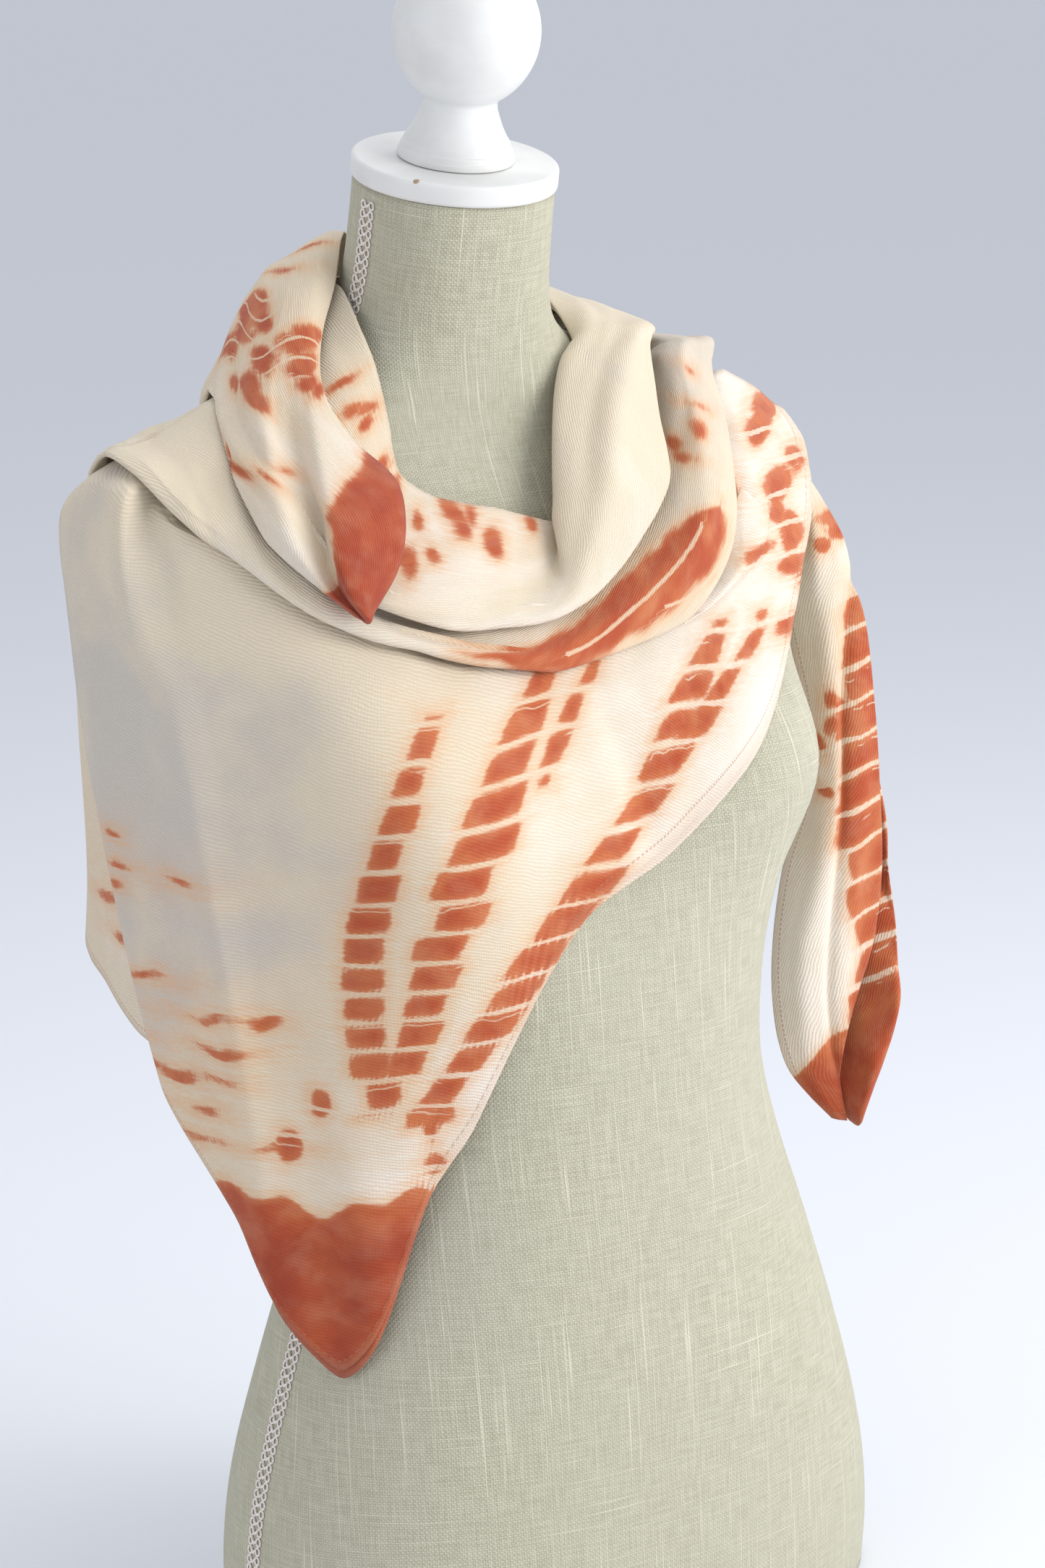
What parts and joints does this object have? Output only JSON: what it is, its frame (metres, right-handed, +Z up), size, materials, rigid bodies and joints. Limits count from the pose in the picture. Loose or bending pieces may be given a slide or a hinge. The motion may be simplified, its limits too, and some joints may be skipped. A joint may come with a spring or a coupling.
{
  "type": "cashmere shawl on a limbless dress form",
  "caption": "Tie-dyed cashmere shawl wound round the neck and shoulders of a linen-covered limbless dress form with a turned ball finial, its point hanging down one side.",
  "frame": {"origin": "middle of the form's flat underside", "axes": "+Z up, -Y towards the viewer of the picture, on the side where the shawl's point hangs; the form's own front is turned 33 degrees from -Y towards +X"},
  "size_m": [0.4219, 0.3399, 0.8535],
  "materials": {
    "cashmere": "soft matt twill",
    "linen": "matt plain weave",
    "painted_wood": "satin paint"
  },
  "bodies": {
    "root": {"shawl_back": "cashmere", "shawl_end_inner": "cashmere", "shawl_end": "cashmere", "shawl_front_under": "cashmere", "shawl_front": "cashmere", "shawl_ridge": "cashmere", "shawl_outer_cowl": "cashmere", "shawl_inner_cowl": "cashmere", "shawl_roll": "cashmere", "form_torso": "linen", "neck_cap": "painted_wood", "finial": "painted_wood"}
  },
  "joints": []
}
